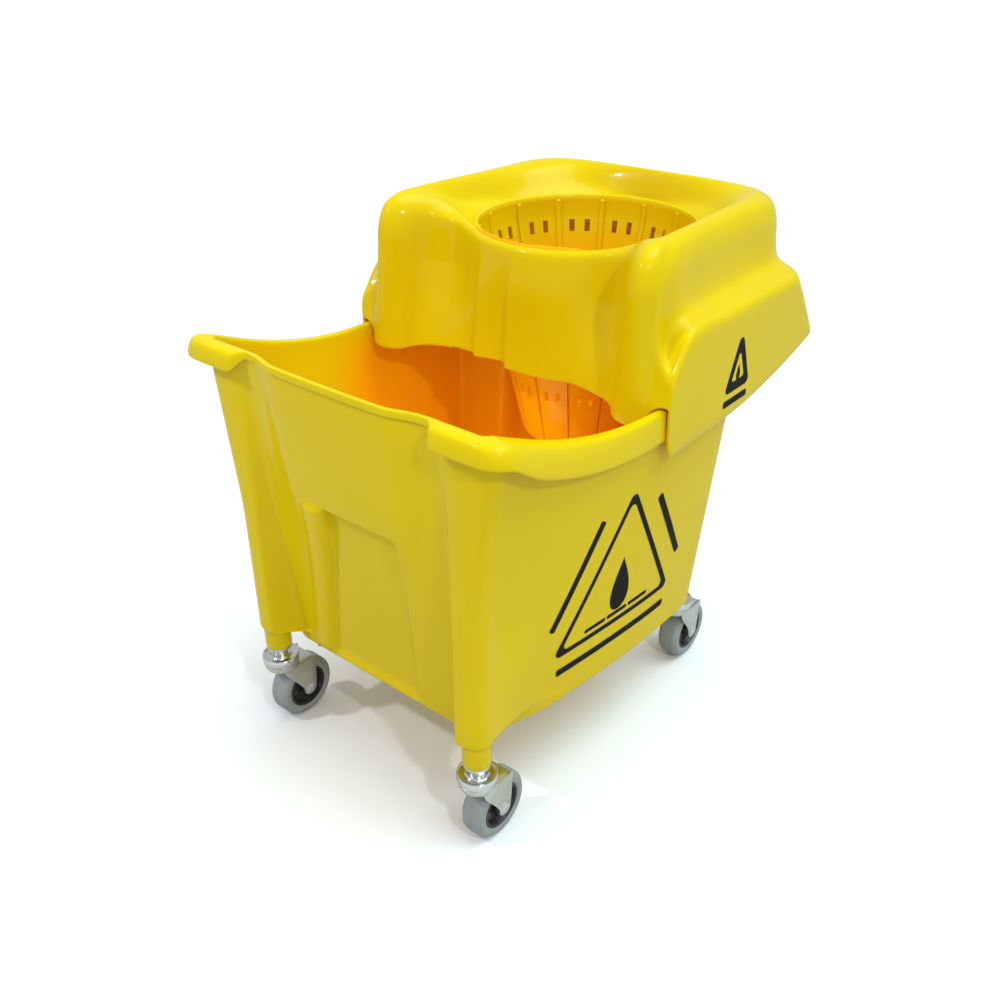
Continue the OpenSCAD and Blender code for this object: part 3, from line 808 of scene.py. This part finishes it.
def funnel_r(z):
    """The inside radius at height z."""
    return mix(CONE_FOOT_R - 3, 124.4, clamp01((z - CONE_FOOT_Z) / (CONE_LOW - CONE_FOOT_Z)))


def cone_ring(r, z, ribbed=1.0):
    ring = []
    for k in range(SECTORS):
        for angle, stand in COLUMNS:
            a = math.radians(angle + 360 / SECTORS * k)
            ring.append(((r - stand * ribbed) * math.cos(a), CONE_Y + (r - stand * ribbed) * math.sin(a), z))
    return ring


slot_rows = sorted([z for top in SLOT_TOPS for z in (top, top - SLOT_H)], reverse=True)
rings = [cone_ring(127.3, 551, 0), cone_ring(127.1, 553.2, 0), cone_ring(126.2, 554, 0), cone_ring(125.3, 553.6, 0),
         cone_ring(124.6, 552, 0), cone_ring(124.5, 550, 0), cone_ring(124.5, 548.5), cone_ring(124.4, CONE_LOW)]
rings += [cone_ring(funnel_r(z), z) for z in slot_rows + [345, 315]]
rings += [cone_ring(CONE_FOOT_R - 3, CONE_FOOT_Z + 3, 0)]
rings += [cone_ring(r, CONE_FOOT_Z + 3, 0) for r in (58, 52, 36, 30, 12, 0)]


# painted shade: the cone turns orange lower down, where it lies in the hood's shadow
def cone_painted_shade(row, point):
    return ease((525 - point[2]) / 70)


cone = wrapped("wringer_funnel", rings, cone_painted_shade)


def is_hole(middle):
    """A slot in the wall between the ribs, or a drain hole in the floor."""
    x, y, z = middle.x * 1000, middle.y * 1000 + ORIGIN_BACK - CONE_Y, middle.z * 1000
    angle = math.degrees(math.atan2(y, x)) % (360 / SECTORS)
    off = abs(min(angle, 360 / SECTORS - angle, key=abs))
    if z < CONE_FOOT_Z + 4:
        return 36 < math.hypot(x, y) < 52 and math.degrees(math.atan2(y, x)) % 60 < 22
    from_plain = abs((math.degrees(math.atan2(y, x)) - PLAIN_AT + 180) % 360 - 180)
    in_row = any(top - SLOT_H < z < top for top in SLOT_TOPS)
    return from_plain > PLAIN_HALF and SLOT_BAND[0] < off < SLOT_BAND[1] and in_row


clean_start()
cone.select_set(True)
bpy.context.view_layer.objects.active = cone
bpy.ops.object.mode_set(mode="EDIT")
bpy.ops.mesh.select_mode(type="FACE")
bpy.ops.mesh.select_all(action="DESELECT")
bpy.ops.object.mode_set(mode="OBJECT")
holes = 0
for face in cone.data.polygons:
    face.select = is_hole(face.center)
    holes += face.select
bpy.ops.object.mode_set(mode="EDIT")
bpy.ops.mesh.delete(type="FACE")
bpy.ops.object.mode_set(mode="OBJECT")
faced(cone, inside=True)
print(holes, "faces left out for slots and drain holes")
applied(cone, "SOLIDIFY", thickness=0.0026, offset=-1.0)
smoothed(cone, 35)
given(cone, yellow_painted_shade, "wringer", "wringer_plastic", "wringer_cone")
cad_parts["cone_screws"].data.materials.clear()
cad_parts["cone_screws"].data.materials.append(zinc)

# %% Finishes of the carried-over nodes
NODE_FINISH = {"socket": zinc, "stem": zinc, "balls": bright, "axle": bright, "bush": bright}
for corner in CORNERS:
    for part, material in NODE_FINISH.items():
        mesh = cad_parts[f"{corner}_{part}"].data
        mesh.materials.clear()
        mesh.materials.append(material)

# %% [markdown]
# ## The casters
# Each caster is a pressed fork on a ring of balls, a black wheel core on a bush, and a grey tyre. The round parts are
# turned: a profile of radius and height goes round an axis. We make one set and copy it to the four corners.

# %% Turned parts
AXLE_Z, TRAIL = 38.1, 24.4


def turned(name, profile, axis, height=0.0, back=0.0, steps=72, spokes=None):
    """A closed profile of (radius, height) taken round the Z axis, or round the X axis at a height, set back."""
    rings = []
    for r, h in list(profile) + [profile[0]]:
        ring = []
        for k in range(steps):
            a = 2 * math.pi * k / steps
            along = spokes(r, h, a) if spokes else h
            place = (r * math.cos(a), r * math.sin(a), along) if axis == "Z" else \
                (along, back + r * math.cos(a), height + r * math.sin(a))
            ring.append((place[0], place[1] + ORIGIN_BACK, place[2]))
        rings.append(ring)
    return wrapped(name, rings)


TYRE = [(26.2, -12.4), (27.2, -13.4), (28.5, -13.75), (32.5, -13.75), (33.6, -13.4), (34.6, -12.6), (36.9, -10.4),
        (37.7, -9.2), (38.02, -7.8), (38.1, -5), (38.1, -0.35), (37.85, 0), (38.1, 0.35), (38.1, 5), (38.02, 7.8),
        (37.7, 9.2), (36.9, 10.4), (34.6, 12.6), (33.6, 13.4), (32.5, 13.75), (28.5, 13.75), (27.2, 13.4), (26.2, 12.4)]
CORE = [(6.7, -14.6), (8.6, -14.7), (9.3, -14.2), (9.8, -12.8), (10.4, -7), (11.5, -5.6), (17, -5), (20.5, -5.8),
        (21.8, -8), (22.6, -11.6), (23.2, -12.6), (25.2, -12.9), (26.1, -12.4)]
CORE += [(r, -h) for r, h in reversed(CORE)]
CUP = [(5.7, 94.7), (17.6, 94.7), (18.8, 93.9), (19.5, 92.5), (19.7, 89.9), (20.6, 89.7), (21.2, 90.6), (21.6, 94),
       (21.5, 96.6), (21.0, 98.3), (20.2, 99), (19.3, 98.8), (18.6, 98), (16.5, 97.3), (13.2, 96.9), (12, 97.6),
       (11, 98.9), (5.7, 98.9)]
DISH = [(5.7, 80.1), (16.6, 80.1), (18.4, 80.9), (19.6, 83), (20.4, 86.5), (20.5, 88.9), (19.8, 89.3), (18.9, 89.0),
        (17.9, 87.9), (16.4, 87.4), (13, 87.5), (11, 89.3), (9.8, 88.8), (9, 84.1), (5.7, 84.1)]


def core_spokes(r, h, a):
    """Six low spokes stand in the recess of the wheel's core."""
    near = abs((math.degrees(a) % 60) - 30)
    lift = 3.2 * ease((7 - near) / 3) if 10.2 < r < 22 and abs(h) < 9 else 0
    return h + math.copysign(lift, h)


# %% The fork's pressed cheeks
CHEEK_EDGE = [(-9, 82.6), (-8.6, 79), (-6.5, 73.5), (-2, 66.5), (4, 59), (9, 52), (12.6, 46), (14.6, 42)]
CHEEK_EDGE += [(TRAIL + 9 * math.cos(math.radians(a)), AXLE_Z + 9 * math.sin(math.radians(a)))
               for a in range(170, 371, 20)]
CHEEK_EDGE += [(34.2, 44), (35, 54), (35.8, 66), (36.6, 76), (37.6, 81.5), (34, 82.6), (20, 82.6), (5, 82.6)]


def pressed(name, edge, x_in, x_out, hub):
    """A flat plate from its edge outline, standing across X, closed at the hub point."""
    def ring(x, scale):
        return [(x, mix(hub[0], y, scale) + ORIGIN_BACK, mix(hub[1], z, scale)) for y, z in edge]
    return wrapped(name, [ring(x_in, 0), ring(x_in, 0.6), ring(x_in, 1), ring(x_out, 1), ring(x_out, 0.6),
                          ring(x_out, 0)])


def joined(pieces, name):
    clean_start()
    for piece in pieces:
        piece.select_set(True)
    bpy.context.view_layer.objects.active = pieces[0]
    bpy.ops.object.join()
    pieces[0].name = pieces[0].data.name = name
    return pieces[0]


def make_fork():
    """Two cheeks, the top plate, the dish for the balls, and a rolled ring round each end of the axle."""
    parts = []
    for side in (-1, 1):
        inner_x, outer_x = side * 15.5, side * 17.6
        cheek_plate = pressed("cheek", CHEEK_EDGE, inner_x, outer_x, (17, 64))
        applied(cheek_plate, "BEVEL", width=0.0006, segments=2, limit_method="ANGLE", angle_limit=math.radians(50))
        roll = [(4.1, side * 17.4), (7.2, side * 17.4), (7.4, side * 18.0), (6.6, side * 18.5), (5.4, side * 18.5),
                (4.1, side * 18.1)]
        parts += [cheek_plate, turned("roll", roll, "X", AXLE_Z, TRAIL, 36)]
    top = [(-17.6, -8), (17.6, -8), (17.6, 34), (-17.6, 34)]
    outline_top = [(mix(a[0], b[0], t / 6), mix(a[1], b[1], t / 6)) for a, b in zip(top, top[1:] + top[:1])
                   for t in range(6)]
    plate_rings = [[(x * f, mix(12, y, f) + ORIGIN_BACK, z) for x, y in outline_top]
                   for z, f in ((80.1, 0.0), (80.1, 1.0), (82.6, 1.0), (82.6, 0.0))]
    plate = wrapped("plate", plate_rings)
    applied(plate, "BEVEL", width=0.0008, segments=2, limit_method="ANGLE", angle_limit=math.radians(50))
    return joined(parts + [plate, turned("dish", DISH, "Z")], "fork")


# %% One set, copied to the corners
SETS = (("fork", make_fork(), zinc, "zinc", "caster"),
        ("bearing_cup", turned("cup", CUP, "Z"), bright, "bright_steel", None),
        ("hub", turned("core", CORE, "X", AXLE_Z, TRAIL, 120, core_spokes), black, "wheel_core", "wheel"),
        ("tread", turned("tyre", TYRE, "X", AXLE_Z, TRAIL, 96), rubber, "tread_rubber", "wheel"))
for part, first, material, slot_name, body in SETS:
    smoothed(first, 32)
    for corner in CORNERS:
        piece = first.copy()
        piece.data = first.data.copy()
        piece.name = piece.data.name = f"{corner}_{part}_made"
        scene.collection.objects.link(piece)
        clean_start()
        piece.select_set(True)
        bpy.context.view_layer.objects.active = piece
        low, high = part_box(f"{corner}_stem")
        piece.location = ((low.x + high.x) / 2, (low.y + high.y) / 2, 0)
        bpy.ops.object.transform_apply(location=True, rotation=True, scale=True)
        given(piece, material, f"{corner}_{body}" if body else "bucket", slot_name, f"{corner}_{part}")
    bpy.data.objects.remove(first)

# %% [markdown]
# ## The prints
# A plain hazard triangle is screen-printed on each side of the tub, with a plain drop in it and bars where words
# would stand. A small plain sign is on each cheek. Each print is a film 0.15 mm thick that follows the wall.

# %% Helpers for prints


def film(name, shapes, wall, side):
    """Closed outlines in (y, z), each a strip between two rings, laid on a wall whose x is wall(y, z)."""
    parts = []
    for outer_line, inner_line in shapes:
        rings = []
        for t in (0, 0.5, 1):
            line = [(mix(a[0], b[0], t), mix(a[1], b[1], t)) for a, b in zip(outer_line, inner_line)]
            rings.append([(side * wall(y, z), y, z) for y, z in line])
        parts.append(wrapped("strip", rings))
    piece = faced(joined(parts, name))
    faces = piece.data.polygons
    if sum(f.normal.x * f.area for f in faces) * side < 0:
        bpy.ops.object.mode_set(mode="EDIT")
        bpy.ops.mesh.flip_normals()
        bpy.ops.object.mode_set(mode="OBJECT")
    return smoothed(applied(piece, "SOLIDIFY", thickness=0.00015, offset=-1.0), 30)


def rounded(corners, radius, per=6, along=8):
    """A polygon with round corners, anticlockwise in (y, z)."""
    line = []
    for k, here in enumerate(corners):
        u = Vector(corners[k - 1]) - Vector(here)
        v = Vector(corners[(k + 1) % len(corners)]) - Vector(here)
        half = u.angle(v) / 2
        toward = (u.normalized() + v.normalized()).normalized()
        centre = Vector(here) + toward * radius / math.sin(half)
        first = math.atan2(u.y, u.x) + math.pi / 2
        turn = math.pi - 2 * half
        line += [(centre.x + radius * math.cos(first + turn * t / per),
                  centre.y + radius * math.sin(first + turn * t / per)) for t in range(per + 1)]
    return [(mix(a[0], b[0], t / along), mix(a[1], b[1], t / along)) if math.dist(a, b) > 8 else a
            for a, b in zip(line, line[1:] + line[:1]) for t in range(along if math.dist(a, b) > 8 else 1)]


def drawn_in(line, middle, share):
    """An outline drawn in towards a point, so that a strip between the two makes a frame."""
    return [(mix(y, middle[0], share), mix(z, middle[1], share)) for y, z in line]


def point_ring(line):
    """The middle of an outline, as often as the outline has points, so that a strip fills it."""
    middle = (sum(p[0] for p in line) / len(line), sum(p[1] for p in line) / len(line))
    return [middle] * len(line)


def drop(y, z, size):
    """A water drop: round below, pointed above."""
    line = []
    for k in range(48):
        a = 2 * math.pi * k / 48
        from_tip = a if a < math.pi else 2 * math.pi - a
        line.append((y + size * 0.62 * math.sin(a) * math.sin(from_tip / 2)**1.3, z + size * math.cos(a)))
    return line


def bar(a, b, width):
    """A bar from a to b with round ends."""
    along = (Vector(b) - Vector(a)).normalized() * width / 2
    across = Vector((-along.y, along.x))
    start, end = Vector(a) - along, Vector(b) + along
    return rounded([tuple(c) for c in (start + across, start - across, end - across, end + across)], width * 0.3)


# %% The prints' shapes
TRIANGLE, TRIANGLE_MIDDLE = [(74, 186), (272, 186), (178, 354)], (174.7, 242)
BARS = [((88, 164), (262, 164)), ((70, 232), (128, 332)), ((228, 322), (280, 232))]
WAVES = ((124, 152), (160, 188), (196, 224))
SIGN, SIGN_MIDDLE = [(311, 413), (367, 413), (339, 481)], (339, 436)
triangle = rounded(TRIANGLE, 7)
filled = [drop(174, 238, 34)] + [bar((y0, 200), (y1, 200), 5) for y0, y1 in WAVES] + [bar(a, b, 9) for a, b in BARS]
side_print = [(triangle, drawn_in(triangle, TRIANGLE_MIDDLE, 0.115))] + [(line, point_ring(line)) for line in filled]
sign = rounded(SIGN, 6)
small = [drop(339, 433, 9), bar((316, 402), (360, 402), 8)]
cheek_print = [(sign, drawn_in(sign, SIGN_MIDDLE, 0.5))] + [(line, point_ring(line)) for line in small]
print(len(side_print), "shapes on a side and", len(cheek_print), "on a cheek")

# %% The prints
for side, hand in ((-1, "left"), (1, "right")):
    on_side = film(f"{hand}_side_print", side_print, lambda y, z: wall_x(y, z) + 0.25, side)
    given(on_side, ink, "bucket", "print_black")
    on_cheek = film(f"{hand}_cheek_print", cheek_print, lambda y, z: CHEEK_X + 0.2, side)
    given(on_cheek, ink, "wringer", "print_black")
